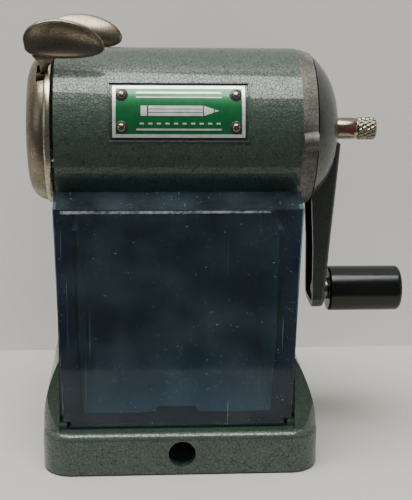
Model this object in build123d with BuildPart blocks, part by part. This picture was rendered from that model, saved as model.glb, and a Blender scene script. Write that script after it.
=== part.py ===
from build123d import *
import os
from math import atan, cos, degrees, hypot, radians, sin, tan

# Desk pencil sharpener: a horizontal case on a hollow pedestal, with a see-through shavings drawer
# in front, a sprung pencil clamp at the left and a crank at the right. Millimetres. X runs along the
# crank axis towards the crank, -Y faces the user, Z is up, and the origin lies on the desk under the
# middle of the whole sharpener.

os.makedirs("parts", exist_ok=True)

# Driving dimensions
axis_z = 104.0  # height of the crank axis
base_x = -13.2  # middle of the foot
case_r = 25.0  # outside of the case
case_bore = 22.3  # inside of the case
case_left = base_x - 38.0
case_right = base_x + 35.5
case_mid = (case_left + case_right) / 2
cheek_t = 4.3  # thickness of the pedestal's two side walls
pedestal_front = -26.0
pedestal_back = 25.0
foot_w = 87.0
foot_d = 67.0
foot_top = 13.9
rim_z = 0.5  # the rim stops short of the desk: the rubber feet carry the weight
wall = 3.0  # walls of the foot
deck_t = 2.5
clamp_hole_r = 4.25
clamp_hole_z = 7.2
feet_at = (35.0, 25.0)

# Feed mechanism
bulkhead_left = case_left + 2.0
bulkhead_t = 4.0
bulkhead_right = bulkhead_left + bulkhead_t
rod_y = 16.0
rod_z = -8.0  # from the crank axis
rod_r = 1.5
pencil_r = 4.5  # way through the spindle
spindle_r = 7.0
bush_r = 9.0
run = 0.05  # radial clearance of a running fit

# Planetary cutter: the cutter leans against the cone of the pencil point
lean = atan(0.2035)
tip_x = 10.0  # where the pencil point ends
tip_drop = 6.633  # how far the cutter axis lies below the crank axis there
cutter_r = 6.5
axle_r = 1.6
shaft_r = 4.0
module = 0.8
ring_teeth = 22
pinion_teeth = 8
ring_pitch_r = module * ring_teeth / 2
pinion_pitch_r = module * pinion_teeth / 2
flank = tan(radians(25))
tooth_w = 1.13  # on the pitch circle, with play
pinion_face = 3.0

# Planes and axes that the pieces share
across = Plane(origin=(0, 0, axis_z), x_dir=(0, 1, 0), z_dir=(1, 0, 0))
along = Plane(origin=(0, 0, axis_z), x_dir=(1, 0, 0), z_dir=(0, -1, 0))
crank_axis = Axis((0, 0, axis_z), (1, 0, 0))
tip = (tip_x, 0, axis_z - tip_drop)
cutter_plane = Plane(origin=tip, x_dir=(0, 1, 0), z_dir=(cos(lean), 0, sin(lean)))


def ring_sector(inner, outer, start, sweep):
    """A piece of a ring, its angles counted from the local x axis."""
    with BuildSketch() as sector:
        with BuildLine():
            inside = CenterArc((0, 0), inner, start, sweep)
            outside = CenterArc((0, 0), outer, start, sweep)
            Line(inside @ 0, outside @ 0)
            Line(inside @ 1, outside @ 1)
        make_face()
    return sector.sketch


def tooth(root, tip_radius, pitch):
    """A straight-flanked gear tooth along the local x axis, from its root to its tip."""
    outward = 1 if tip_radius > root else -1
    root_half = tooth_w / 2 + abs(pitch - root) * flank
    tip_half = tooth_w / 2 - outward * (tip_radius - pitch) * flank
    with BuildSketch() as outline:
        Polygon(
            (root, -root_half), (tip_radius, -tip_half), (tip_radius, tip_half), (root, root_half), align=None
        )
    return outline.sketch


# ---- Housing: foot, pedestal and case in one painted casting ----
name_angle = 20.9  # the name plate's middle, above the horizontal
name_half = 17.7
name_w = 39.0
name_floor_r = case_r - 0.35
name_t = 0.6
recess_margin = 0.9
rivet_x = 16.85
rivet_angle = 11.2
rivet_r = 0.7
chute_w = 24.0
nub_w = 2.2
nub_h = 2.4
shoulder_front = 31.5
feet_places = [(base_x + sx * feet_at[0], sy * feet_at[1]) for sx in (-1, 1) for sy in (-1, 1)]


def rivet_planes():
    """One plane for each rivet of the name plate, with its normal pointing out of the case."""
    planes = []
    for side in (-1, 1):
        for step in (-1, 1):
            angle = radians(name_angle + step * rivet_angle)
            out = (0, -cos(angle), sin(angle))
            planes.append(Plane(origin=(case_mid + side * rivet_x, 0, axis_z), x_dir=(1, 0, 0), z_dir=out))
    return planes


with BuildPart() as shoulders:
    for cheek_x, foot_x in ((case_left, base_x - 43.3), (case_right, base_x + 43.3)):
        out = 1 if foot_x > cheek_x else -1
        with BuildSketch(Plane.XZ.offset(shoulder_front)):
            with BuildLine():
                flare = ThreePointArc(
                    (cheek_x, 36.0), ((cheek_x + foot_x) / 2 + out * 1.7, 23.0), (foot_x, 9.0)
                )
                Polyline(flare @ 1, (cheek_x, 9.0), flare @ 0)
            make_face()
        extrude(amount=-2 * shoulder_front)
    with BuildSketch():
        with Locations((base_x, 0)):
            RectangleRounded(foot_w, 2 * shoulder_front, 9)
    extrude(amount=40, mode=Mode.INTERSECT)
    with BuildSketch(Plane.YZ):
        with BuildLine():
            rise = ThreePointArc((pedestal_front, 36.5), (-28.4, 22.0), (-shoulder_front, 12.0))
            fall = ThreePointArc((shoulder_front, 12.0), (27.6, 22.0), (pedestal_back, 36.5))
            Line(rise @ 0, fall @ 1)
            Polyline(rise @ 1, (-shoulder_front, 5), (shoulder_front, 5), fall @ 0)
        make_face()
    extrude(amount=60, both=True, mode=Mode.INTERSECT)

with BuildPart() as housing:
    with BuildSketch(Plane.XY.offset(rim_z)):
        with Locations((base_x, 0)):
            RectangleRounded(foot_w, foot_d, 9)
    extrude(amount=foot_top - rim_z)
    fillet(housing.edges().group_by(Axis.Z)[-1], radius=2.5)
    # pedestal, with a sloping front corner under the case
    with BuildSketch(Plane.YZ.offset(case_left)):
        with BuildLine():
            Polyline(
                (pedestal_front, foot_top - 1),
                (pedestal_front, 82.5),
                (-17.0, 86.6),
                (0, axis_z),
                (pedestal_back, axis_z),
                (pedestal_back, foot_top - 1),
                close=True,
            )
        make_face()
    extrude(amount=case_right - case_left)
    # shoulders that spread the pedestal to the foot
    add(shoulders.part)
    # room for the drawer
    with BuildSketch(Plane.XY.offset(foot_top)):
        with Locations((case_mid, 0)):
            Rectangle(case_right - case_left - 2 * cheek_t, 2 * (pedestal_back - wall))
        with Locations((case_mid, pedestal_front)):
            Rectangle(case_right - case_left - 2 * cheek_t, 20)
    extrude(amount=axis_z - foot_top, mode=Mode.SUBTRACT)
    # case
    with BuildSketch(across.offset(case_left)):
        Circle(case_r)
    extrude(amount=case_right - case_left)
    with BuildSketch(across.offset(case_left)):
        Circle(case_bore)
    extrude(amount=case_right - case_left, mode=Mode.SUBTRACT)
    # bulkhead that carries the spindle and guides the two feed rods
    with BuildSketch(across.offset(bulkhead_left)):
        Circle(case_bore + 0.5)
        Circle(bush_r, mode=Mode.SUBTRACT)
        with Locations((-rod_y, rod_z), (rod_y, rod_z)):
            Circle(rod_r + 0.1, mode=Mode.SUBTRACT)
    extrude(amount=bulkhead_t)
    # chute that drops the shavings into the drawer
    with BuildSketch(Plane.XY.offset(axis_z - case_r - 1)):
        with Locations(((bulkhead_right + case_right - 5) / 2 + 1, 0)):
            RectangleRounded(case_right - bulkhead_right - 10, chute_w, 3)
    extrude(amount=10, mode=Mode.SUBTRACT)
    # shallow seat for the name plate
    with BuildSketch(across.offset(case_mid - name_w / 2 - recess_margin)):
        seat_half = name_half + degrees(recess_margin / case_r)
        add(ring_sector(name_floor_r, case_r + 1, 180 - name_angle - seat_half, 2 * seat_half))
    extrude(amount=name_w + 2 * recess_margin, mode=Mode.SUBTRACT)
    for place in rivet_planes():
        with BuildSketch(place.offset(case_bore - 0.5)):
            Circle(rivet_r)
        extrude(amount=4, mode=Mode.SUBTRACT)
    # hollow underside, bosses for the rubber feet and the desk clamp's hole
    with BuildSketch(Plane.XY.offset(rim_z)):
        with Locations((base_x, 0)):
            RectangleRounded(foot_w - 2 * wall, foot_d - 2 * wall, 6)
    extrude(amount=foot_top - deck_t - rim_z, mode=Mode.SUBTRACT)
    with BuildSketch(Plane.XY.offset(2.5)):
        with Locations(*feet_places):
            Circle(5.5)
            Circle(1.5, mode=Mode.SUBTRACT)
    extrude(amount=foot_top - deck_t - 2.5)
    with BuildSketch(Plane.XZ.offset(foot_d / 2 - wall - 1)):
        with Locations((base_x, clamp_hole_z)):
            Circle(clamp_hole_r)
    extrude(amount=wall + 2, mode=Mode.SUBTRACT)
    # nubs that centre the drawer's lower corners
    with BuildSketch(Plane.XY.offset(foot_top - 1.5)):
        with Locations((case_mid - 35.7, -27.5), (case_mid + 35.7, -27.5)):
            Rectangle(nub_w, 2.2)
    extrude(amount=nub_h + 1.5)

housing.part.label = "housing"
export_step(housing.part, "parts/housing.step")

# ---- Gear plate: unpainted casting that closes the right end and holds the ring gear ----
ring_left = 13.2
ring_right = 17.8
web_right = 25.1
plate_right = 27.1
rear_bush_r = 5.5
rear_bush_left = 20.6
rear_bush_right = 26.2
ring_root_r = 9.55
ring_tip_r = 8.4

with BuildPart() as gear_plate:
    with BuildSketch(along):
        with BuildLine():
            Polyline(
                (rear_bush_left, rear_bush_r),
                (rear_bush_right, rear_bush_r),
                (rear_bush_right, 8.0),
                (web_right, 9.0),
                (web_right, 20.6),
                (plate_right, 21.4),
                (plate_right, 23.6),
                (case_right, case_r),
                (case_right, case_bore - 0.1),
                (case_right - 4.0, case_bore - 0.1),
                (case_right - 4.0, case_bore - 1.6),
                (case_right, case_bore - 1.6),
                (case_right, 13.0),
                (ring_left, 13.0),
                (ring_left, ring_root_r),
                (rear_bush_left, ring_root_r),
                close=True,
            )
        make_face()
    revolve(axis=crank_axis)
    with BuildSketch(across.offset(ring_left)):
        with PolarLocations(0, ring_teeth, start_angle=-90 + 180 / ring_teeth):
            add(tooth(ring_root_r + 0.3, ring_tip_r, ring_pitch_r))
    extrude(amount=ring_right - ring_left)
    # grip for twisting the plate out of the case
    with BuildSketch(across.offset(case_right + 0.3)):
        with Locations((-23.3, 0)):
            Circle(2.9)
        Circle(22, mode=Mode.SUBTRACT)
    extrude(amount=plate_right - case_right - 0.3)

gear_plate.part.label = "gear_plate"
export_step(gear_plate.part, "parts/gear_plate.step")

# ---- Bushes ----
with BuildPart() as front_bush:
    with BuildSketch(across.offset(bulkhead_left)):
        Circle(bush_r)
        Circle(spindle_r + run, mode=Mode.SUBTRACT)
    extrude(amount=bulkhead_t)
    with BuildSketch(across.offset(bulkhead_right)):
        Circle(bush_r + 1.5)
        Circle(spindle_r + run, mode=Mode.SUBTRACT)
    extrude(amount=1.0)

front_bush.part.label = "front_bush"
export_step(front_bush.part, "parts/front_bush.step")

with BuildPart() as rear_bush:
    with BuildSketch(across.offset(rear_bush_left)):
        Circle(rear_bush_r)
        Circle(shaft_r + run, mode=Mode.SUBTRACT)
    extrude(amount=rear_bush_right - rear_bush_left)

rear_bush.part.label = "rear_bush"
export_step(rear_bush.part, "parts/rear_bush.step")

# ---- Name plate, curved to the case, and its rivets ----
with BuildPart() as name_plate:
    with BuildSketch(across.offset(case_mid - name_w / 2)):
        add(ring_sector(name_floor_r, name_floor_r + name_t, 180 - name_angle - name_half, 2 * name_half))
    extrude(amount=name_w)
    for place in rivet_planes():
        with BuildSketch(place.offset(case_bore)):
            Circle(rivet_r)
        extrude(amount=5, mode=Mode.SUBTRACT)

name_plate.part.label = "name_plate"
export_step(name_plate.part, "parts/name_plate.step")

rivet_head_r = 1.25
rivet_head_h = 0.6

with BuildPart() as plate_rivets:
    for place in rivet_planes():
        with BuildSketch(place.offset(case_bore + 0.4)):
            Circle(rivet_r)
        extrude(amount=name_floor_r + name_t - case_bore - 0.4)
        with BuildSketch(place.offset(name_floor_r + name_t)):
            Circle(rivet_head_r)
        extrude(amount=rivet_head_h, taper=35)

plate_rivets.part.label = "plate_rivets"
export_step(plate_rivets.part, "parts/plate_rivets.step")

# ---- Rubber feet, pushed into the bosses of the foot ----
with BuildPart() as rubber_feet:
    with BuildSketch(Plane.XY):
        with Locations(*feet_places):
            Circle(4.8)
    extrude(amount=2.5)
    fillet(rubber_feet.edges().group_by(Axis.Z)[0], radius=0.5)
    with BuildSketch(Plane.XY.offset(2.5)):
        with Locations(*feet_places):
            Circle(1.5)
    extrude(amount=4.0)

rubber_feet.part.label = "rubber_feet"
export_step(rubber_feet.part, "parts/rubber_feet.step")

# ---- Cutter carrier: spindle, cage and crank shaft in one piece ----
disc_left = -14.0
disc_right = -10.5
disc_r = 17.5
bridge_left = 9.5
bridge_right = 12.7
neck_r = 8.1
flange_left = 17.9
flange_right = 20.3
above = 1.3  # the bridge and the neck keep to this height over the crank axis
shaft_end = 36.0
stop_bore_r = 1.1
stem_bore_r = 2.7
stem_bore_left = 29.0

with BuildPart() as cutter_carrier:
    with BuildSketch(across.offset(bulkhead_left)):
        Circle(spindle_r)
    extrude(amount=disc_left - bulkhead_left)
    with BuildSketch(across.offset(bulkhead_right + 1.2)):
        Circle(bush_r)
    extrude(amount=2.0)
    with BuildSketch(across.offset(disc_left)):
        Circle(disc_r)
    extrude(amount=disc_right - disc_left)
    with BuildSketch(across.offset(bulkhead_left)):
        Circle(pencil_r)
    extrude(amount=disc_right - bulkhead_left, mode=Mode.SUBTRACT)
    # rails of the cage
    with BuildSketch(across.offset(disc_right)):
        with Locations((-10.5, 3.0), (10.5, 3.0)):
            Rectangle(4, 12)
    extrude(amount=bridge_left + 1.5 - disc_right)
    with BuildSketch(across.offset(bridge_left)):
        Circle(13)
        with Locations((0, above - 15)):
            Rectangle(30, 30, mode=Mode.SUBTRACT)
    extrude(amount=bridge_right - bridge_left)
    with BuildSketch(across.offset(bridge_right)):
        Circle(neck_r)
        with Locations((0, above - 15)):
            Rectangle(30, 30, mode=Mode.SUBTRACT)
    extrude(amount=flange_left - bridge_right)
    with BuildSketch(across.offset(flange_left)):
        Circle(neck_r)
    extrude(amount=flange_right - flange_left)
    with BuildSketch(across.offset(flange_right)):
        Circle(shaft_r)
    extrude(amount=shaft_end - flange_right)
    # bores for the stop rod, the knob's stem and the cutter's axle
    with BuildSketch(across.offset(flange_left)):
        Circle(stop_bore_r)
    extrude(amount=shaft_end - flange_left, mode=Mode.SUBTRACT)
    with BuildSketch(across.offset(stem_bore_left)):
        Circle(stem_bore_r)
    extrude(amount=shaft_end - stem_bore_left, mode=Mode.SUBTRACT)
    with BuildSketch(cutter_plane.offset(-24.2)):
        Circle(axle_r)
    extrude(amount=24.2 + 9.6, mode=Mode.SUBTRACT)

cutter_carrier.part.label = "cutter_carrier"
export_step(cutter_carrier.part, "parts/cutter_carrier.step")

# ---- Cutter axle, milling cutter and pinion, all on the leaning axis ----
cutter_back = -18.3
cutter_front = 1.5
flutes = 18
flute_depth = 0.9

with BuildPart() as cutter_axle:
    with BuildSketch(cutter_plane.offset(-24.0)):
        Circle(axle_r)
    extrude(amount=24.0 + 9.4)

cutter_axle.part.label = "cutter_axle"
export_step(cutter_axle.part, "parts/cutter_axle.step")

with BuildPart() as milling_cutter:
    with BuildSketch(cutter_plane.offset(cutter_back)):
        Circle(cutter_r)
        with PolarLocations(0, flutes):
            Polygon(
                (cutter_r + 0.4, -0.5), (cutter_r + 0.4, 0.7), (cutter_r - flute_depth, -0.4),
                align=None, mode=Mode.SUBTRACT,
            )
        Circle(axle_r + run, mode=Mode.SUBTRACT)
    extrude(amount=cutter_front - cutter_back)

milling_cutter.part.label = "milling_cutter"
export_step(milling_cutter.part, "parts/milling_cutter.step")

pinion_x = tip_x + (tip_drop - (ring_pitch_r - pinion_pitch_r)) / tan(lean)
pinion_s = (pinion_x - tip_x) / cos(lean)
cone = pinion_face / 2 * sin(lean) / pinion_pitch_r
pinion_root_r = 2.62
pinion_tip_r = 3.75


def pinion_section(size):
    """The pinion's outline at one end of its cone, with a tooth pointing down."""
    with BuildSketch() as section:
        Circle(pinion_root_r)
        with PolarLocations(0, pinion_teeth, start_angle=-90):
            add(tooth(pinion_root_r - 0.3, pinion_tip_r, pinion_pitch_r))
    return scale(section.sketch, by=size)


with BuildPart() as cutter_pinion:
    with BuildSketch(cutter_plane.offset(pinion_s - pinion_face / 2)):
        add(pinion_section(1 - cone))
    with BuildSketch(cutter_plane.offset(pinion_s + pinion_face / 2)):
        add(pinion_section(1 + cone))
    loft(ruled=True)
    with BuildSketch(cutter_plane.offset(cutter_front)):
        Circle(2.3)
    extrude(amount=pinion_s - pinion_face / 2 - cutter_front)
    with BuildSketch(cutter_plane.offset(cutter_front)):
        Circle(axle_r + run)
    extrude(amount=pinion_s + pinion_face / 2 - cutter_front, mode=Mode.SUBTRACT)

cutter_pinion.part.label = "cutter_pinion"
export_step(cutter_pinion.part, "parts/cutter_pinion.step")

# ---- Crank: thrust washer, lock nut and the cast dome with its channel arm ----
dome_left = 27.5
dome_r = 23.0
dome_right = 35.8
dome_flat_r = 4.5
shell = 2.0
hub_left = 29.8
hub_r = 7.0
arm_wall = 1.8
arm_end_z = 45.6
handle_z = 50.3
arm_half_top = 9.4
arm_half_end = 8.0

with BuildPart() as thrust_washer:
    with BuildSketch(across.offset(rear_bush_right + 0.15)):
        Circle(7.5)
        Circle(shaft_r + run, mode=Mode.SUBTRACT)
    extrude(amount=0.6)

thrust_washer.part.label = "thrust_washer"
export_step(thrust_washer.part, "parts/thrust_washer.step")

with BuildPart() as lock_nut:
    with BuildSketch(across.offset(rear_bush_right + 0.8)):
        RegularPolygon(6.5, 6, major_radius=False)
        Circle(shaft_r + run, mode=Mode.SUBTRACT)
    extrude(amount=hub_left - rear_bush_right - 0.85)

lock_nut.part.label = "lock_nut"
export_step(lock_nut.part, "parts/lock_nut.step")


def dome_profile(left, right, radius):
    """Half section of a shallow dome, closed along the crank axis."""
    with BuildSketch() as profile:
        with BuildLine():
            middle = ((left + right) / 2 + 1.7, (radius + dome_flat_r) / 2 + 2.2)
            edge = ThreePointArc((left, radius), middle, (right, dome_flat_r))
            Polyline(edge @ 1, (right, 0), (left, 0), edge @ 0)
        make_face()
    return profile.sketch


def arm_body(inset):
    """The arm as a solid block, or its hollow when inset is the thickness of the wall."""
    top = axis_z - 3.75 - 6 * inset
    with BuildPart() as body:
        with BuildSketch(Plane.XZ):
            with BuildLine():
                Polyline(
                    (36.9 - inset, top),
                    (34.95 - inset, 66.0),
                    (34.0 - inset, arm_end_z + inset),
                    (30.2 - 3 * inset, arm_end_z + inset),
                    (29.6 - 3 * inset, 66.0),
                    (28.5 - 3 * inset, 81.5),
                    (28.5 - 3 * inset, top),
                    close=True,
                )
            make_face()
        extrude(amount=arm_half_top + 1, both=True)
        with BuildSketch(Plane.YZ):
            with BuildLine():
                Polyline(
                    (inset - arm_half_top, axis_z),
                    (arm_half_top - inset, axis_z),
                    (arm_half_end - inset, arm_end_z + inset),
                    (inset - arm_half_end, arm_end_z + inset),
                    close=True,
                )
            make_face()
        extrude(amount=60, mode=Mode.INTERSECT)
        low = body.edges().filter_by(Axis.X).group_by(Axis.Z)[0]
        fillet(low, radius=3.5 - inset)
        if inset == 0:
            web = body.faces().sort_by(Axis.X)[-1]
            fillet(web.edges().filter_by(lambda edge: edge.center().Z < axis_z - 10), radius=1.3)
    return body.part


arm_block = arm_body(0)
arm_hollow = arm_body(arm_wall)

with BuildPart() as crank_arm:
    with BuildSketch(along):
        add(dome_profile(dome_left, dome_right, dome_r))
    revolve(axis=crank_axis)
    add(arm_block)
    with BuildSketch(along):
        add(dome_profile(dome_left - 0.5, dome_right - shell, dome_r - shell))
    revolve(axis=crank_axis, mode=Mode.SUBTRACT)
    add(arm_hollow, mode=Mode.SUBTRACT)
    # hub, screwed to the shaft
    with BuildSketch(across.offset(hub_left)):
        Circle(hub_r)
    extrude(amount=dome_right - 0.7 - hub_left)
    with BuildSketch(across.offset(hub_left)):
        Circle(shaft_r + 0.02)
    extrude(amount=shaft_end + 0.2 - hub_left, mode=Mode.SUBTRACT)
    with BuildSketch(across.offset(shaft_end)):
        Circle(stem_bore_r)
    extrude(amount=3, mode=Mode.SUBTRACT)
    # boss and hole for the handle's axle
    handle_plane = Plane(origin=(0, 0, handle_z), x_dir=(0, 1, 0), z_dir=(1, 0, 0))
    with BuildSketch(handle_plane.offset(33.0)):
        Circle(4.2)
    extrude(amount=1.8)
    with BuildSketch(handle_plane.offset(30.0)):
        Circle(2.0)
    extrude(amount=6, mode=Mode.SUBTRACT)

crank_arm.part.label = "crank_arm"
export_step(crank_arm.part, "parts/crank_arm.step")

# ---- Handle: a riveted axle and the moulded grip that turns on it ----
grip_left = 36.1
grip_right = 60.2
grip_r = 7.45
web_inner = 32.25

with BuildPart() as handle_axle:
    with BuildSketch(handle_plane.offset(web_inner)):
        Circle(2.0)
    extrude(amount=grip_right - 3.4 - web_inner)
    with BuildSketch(handle_plane.offset(web_inner - 1.3)):
        Circle(2.7)
    extrude(amount=1.3)
    fillet(handle_axle.edges().group_by(Axis.X)[0], radius=0.9)
    with BuildSketch(handle_plane.offset(34.8)):
        Circle(3.6)
    extrude(amount=grip_left - 0.25 - 34.8)

handle_axle.part.label = "handle_axle"
export_step(handle_axle.part, "parts/handle_axle.step")

with BuildPart() as handle_grip:
    with BuildSketch(handle_plane.offset(grip_left)):
        Circle(grip_r)
    extrude(amount=grip_right - grip_left)
    fillet(handle_grip.edges().group_by(Axis.X)[-1], radius=1.5)
    fillet(handle_grip.edges().group_by(Axis.X)[0], radius=0.8)
    with BuildSketch(handle_plane.offset(grip_left)):
        Circle(2.0 + run)
    extrude(amount=grip_right - 3.2 - grip_left, mode=Mode.SUBTRACT)

handle_grip.part.label = "handle_grip"
export_step(handle_grip.part, "parts/handle_grip.step")

# ---- Point adjuster: knob with a threaded stem, and the rod that stops the pencil ----
knob_left = dome_right + 0.2
knob_right = 49.3
knurl_left = 43.1
stem_left = 30.0
stop_left = 12.0
stop_right = 34.5
stop_r = 0.9

with BuildPart() as point_knob:
    with BuildSketch(along):
        with BuildLine():
            Polyline(
                (stem_left, stop_r + run),
                (stop_right + 1.5, stop_r + run),
                (stop_right + 1.5, 0),
                (knob_right, 0),
                (knob_right, 2.9),
                (knob_right - 0.7, 3.6),
                (knurl_left + 0.4, 3.6),
                (knurl_left, 3.2),
                (knurl_left - 0.5, 3.45),
                (knob_left + 0.5, 3.45),
                (knob_left, 3.0),
                (knob_left, stem_bore_r - run),
                (stem_left, stem_bore_r - run),
                close=True,
            )
        make_face()
    revolve(axis=crank_axis)

point_knob.part.label = "point_knob"
export_step(point_knob.part, "parts/point_knob.step")

with BuildPart() as stop_rod:
    with BuildSketch(across.offset(stop_left)):
        Circle(stop_r)
    extrude(amount=stop_right - stop_left)

stop_rod.part.label = "stop_rod"
export_step(stop_rod.part, "parts/stop_rod.step")

# ---- Face cup: drawn nickel shell that the pencil goes in through ----
cup_left = -59.8
inlet_left = -60.9
cup_wall = 1.2
cup_r = 22.7
lip_left = -53.6
lip_right = -52.1
lip_r = 23.4
corner_r = 6.1  # rounds the cup from its face to its lip
inlet_r = 4.6
inlet_right = -57.9
lever_left = -56.3
lever_t = 2.4
lever_right = lever_left + lever_t
pivot = (9.0, 12.0)  # of the ear levers, seen along the crank axis
stem_top = (14.6, 21.6)
stem_len = hypot(stem_top[0] - pivot[0], stem_top[1] - pivot[1])
stem_dir = ((stem_top[0] - pivot[0]) / stem_len, (stem_top[1] - pivot[1]) / stem_len)
pin_r = 1.2


def stem_outline(side, near, far, inner, outer):
    """A straight strip along an ear's stem; inner and outer are its half widths on the two sides."""
    across_dir = (stem_dir[1], -stem_dir[0])
    corners = []
    for run_out, sideways in ((near, -inner), (near, outer), (far, outer), (far, -inner)):
        y = pivot[0] + run_out * stem_dir[0] + sideways * across_dir[0]
        z = pivot[1] + run_out * stem_dir[1] + sideways * across_dir[1]
        corners.append((side * y, z))
    with BuildSketch() as strip:
        Polygon(*corners, align=None)
    return strip.sketch


with BuildPart() as cup_hollow:
    with BuildSketch(across.offset(cup_left + cup_wall)):
        Circle(cup_r - cup_wall)
    extrude(amount=lip_left - cup_left - cup_wall)
    fillet(cup_hollow.edges().group_by(Axis.X)[0], radius=corner_r - cup_wall)
    with BuildSketch(across.offset(lip_left)):
        Circle(cup_r - cup_wall)
    extrude(amount=lip_right - lip_left)
    with BuildSketch(across.offset(cup_left + cup_wall)):
        Circle(inlet_r + 2)
    extrude(amount=inlet_right - cup_left - cup_wall, mode=Mode.SUBTRACT)

with BuildPart() as face_cup:
    with BuildSketch(across.offset(cup_left)):
        Circle(cup_r)
    extrude(amount=lip_left - cup_left)
    fillet(face_cup.edges().group_by(Axis.X)[0], radius=corner_r)
    with BuildSketch(across.offset(lip_left)):
        Circle(lip_r)
    extrude(amount=lip_right - lip_left)
    fillet(face_cup.edges().group_by(Axis.X)[-1], radius=0.5)
    with BuildSketch(across.offset(inlet_left)):
        Circle(inlet_r + 2)
    extrude(amount=inlet_right - inlet_left)
    add(cup_hollow.part, mode=Mode.SUBTRACT)
    with BuildSketch(across.offset(inlet_left)):
        Circle(inlet_r)
    extrude(amount=inlet_right - inlet_left, mode=Mode.SUBTRACT)
    for side in (-1, 1):
        with BuildSketch(across.offset(lever_left - 0.3)):
            add(stem_outline(side, 5.0, 18.0, 4.6, 3.0))
        extrude(amount=lever_t + 0.6, mode=Mode.SUBTRACT)

face_cup.part.label = "face_cup"
export_step(face_cup.part, "parts/face_cup.step")

# ---- Clamp inside the cup: back plate, pivot pins, two ear levers and their spring ----
plate_left = -53.5
plate_t = 1.2

with BuildPart() as clamp_plate:
    with BuildSketch(across.offset(plate_left)):
        Circle(cup_r - cup_wall - 0.1)
        Circle(7.6, mode=Mode.SUBTRACT)
        with Locations((-rod_y, rod_z), (rod_y, rod_z)):
            Circle(rod_r, mode=Mode.SUBTRACT)
        with Locations((-pivot[0], pivot[1]), pivot):
            Circle(pin_r, mode=Mode.SUBTRACT)
    extrude(amount=plate_t)

clamp_plate.part.label = "clamp_plate"
export_step(clamp_plate.part, "parts/clamp_plate.step")

with BuildPart() as pivot_pins:
    with BuildSketch(across.offset(cup_left + cup_wall)):
        with Locations((-pivot[0], pivot[1]), pivot):
            Circle(pin_r)
    extrude(amount=plate_left + plate_t - cup_left - cup_wall)

pivot_pins.part.label = "pivot_pins"
export_step(pivot_pins.part, "parts/pivot_pins.step")

far_pad_shift = 4.8  # the rear ear's pad reaches further over the case than the front one's

for side, ear_name, shift in ((-1, "ear_lever_front", 0.0), (1, "ear_lever_rear", far_pad_shift)):
    with BuildPart() as ear_pad:
        with BuildSketch(Plane.YZ.offset(-64.0)):
            with BuildLine():
                inner_edge = ThreePointArc((side * 12.9, 123.6), (side * 15.8, 130.3), (side * 18.0, 139.6))
                outer_edge = ThreePointArc((side * 14.0, 123.2), (side * 17.0, 130.0), (side * 19.2, 139.4))
                Line(inner_edge @ 0, outer_edge @ 0)
                Line(inner_edge @ 1, outer_edge @ 1)
            make_face()
        extrude(amount=40)
        with BuildSketch(Plane.XZ):
            with BuildLine():
                Spline(
                    (shift - 59.5, 131.6),
                    (shift - 57.2, 135.3),
                    (shift - 50.6, 138.4),
                    (shift - 42.5, 136.2),
                    (shift - 36.5, 130.4),
                    (shift - 40.0, 127.3),
                    (shift - 49.5, 127.2),
                    (shift - 57.6, 128.0),
                    periodic=True,
                )
            make_face()
            Polygon((-57.6, 129.5), (-47.0, 129.5), (-53.9, 123.3), (-56.3, 123.3), align=None)
        extrude(amount=30, both=True, mode=Mode.INTERSECT)
    with BuildPart() as ear_lever:
        with BuildSketch(across.offset(lever_left)):
            with Locations((side * pivot[0], pivot[1])):
                Circle(3.6)
            add(stem_outline(side, 0, stem_len, 2.5, 2.5))
            Polygon(
                (side * 11.8, 10.5),
                (side * 8.2, -5.0),
                (side * 2.5, -5.0),
                (side * 2.5, -2.6),
                (side * 3.9, 0),
                (side * 2.5, 2.6),
                (side * 2.5, 4.0),
                (side * 6.4, 13.5),
                align=None,
            )
            with Locations((side * pivot[0], pivot[1])):
                Circle(pin_r + run, mode=Mode.SUBTRACT)
        extrude(amount=lever_t)
        add(ear_pad.part)
    ear_lever.part.label = ear_name
    export_step(ear_lever.part, f"parts/{ear_name}.step")

spring_z = axis_z + 16.5
clamp_half = 8.4
clamp_turns = 10
clamp_wire_r = 0.28
clamp_coil_r = 1.05

with BuildPart() as clamp_spring:
    pitch = (2 * clamp_half - 2 * clamp_wire_r) / clamp_turns
    centre = ((lever_left + lever_right) / 2, clamp_wire_r - clamp_half, spring_z)
    with BuildLine():
        coil = Helix(pitch, pitch * clamp_turns, clamp_coil_r, center=centre, direction=(0, 1, 0))
    with BuildSketch(Plane(origin=coil @ 0, z_dir=coil % 0)):
        Circle(clamp_wire_r)
    sweep(is_frenet=True)

clamp_spring.part.label = "clamp_spring"
export_step(clamp_spring.part, "parts/clamp_spring.step")

# ---- Feed: two rods on the clamp plate, pulled home by springs behind the bulkhead ----
rod_right = -17.5
collar_left = -19.0
feed_turns = 9
feed_wire_r = 0.35
feed_coil_r = 2.15

with BuildPart() as guide_rods:
    with BuildSketch(across.offset(plate_left)):
        with Locations((-rod_y, rod_z), (rod_y, rod_z)):
            Circle(rod_r)
    extrude(amount=rod_right - plate_left)
    with BuildSketch(across.offset(plate_left - 1.3)):
        with Locations((-rod_y, rod_z), (rod_y, rod_z)):
            Circle(2.6)
    extrude(amount=1.3)

guide_rods.part.label = "guide_rods"
export_step(guide_rods.part, "parts/guide_rods.step")

with BuildPart() as rod_collars:
    with BuildSketch(across.offset(collar_left)):
        with Locations((-rod_y, rod_z), (rod_y, rod_z)):
            Circle(2.9)
            Circle(rod_r, mode=Mode.SUBTRACT)
    extrude(amount=1.2)

rod_collars.part.label = "rod_collars"
export_step(rod_collars.part, "parts/rod_collars.step")

with BuildPart() as feed_springs:
    length = collar_left - bulkhead_right - 0.2
    pitch = (length - 2 * feed_wire_r) / feed_turns
    for side in (-1, 1):
        centre = (bulkhead_right + 0.1 + feed_wire_r, side * rod_y, axis_z + rod_z)
        with BuildLine():
            coil = Helix(pitch, pitch * feed_turns, feed_coil_r, center=centre, direction=(1, 0, 0))
        with BuildSketch(Plane(origin=coil @ 0, z_dir=coil % 0)):
            Circle(feed_wire_r)
        sweep(is_frenet=True)

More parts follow.
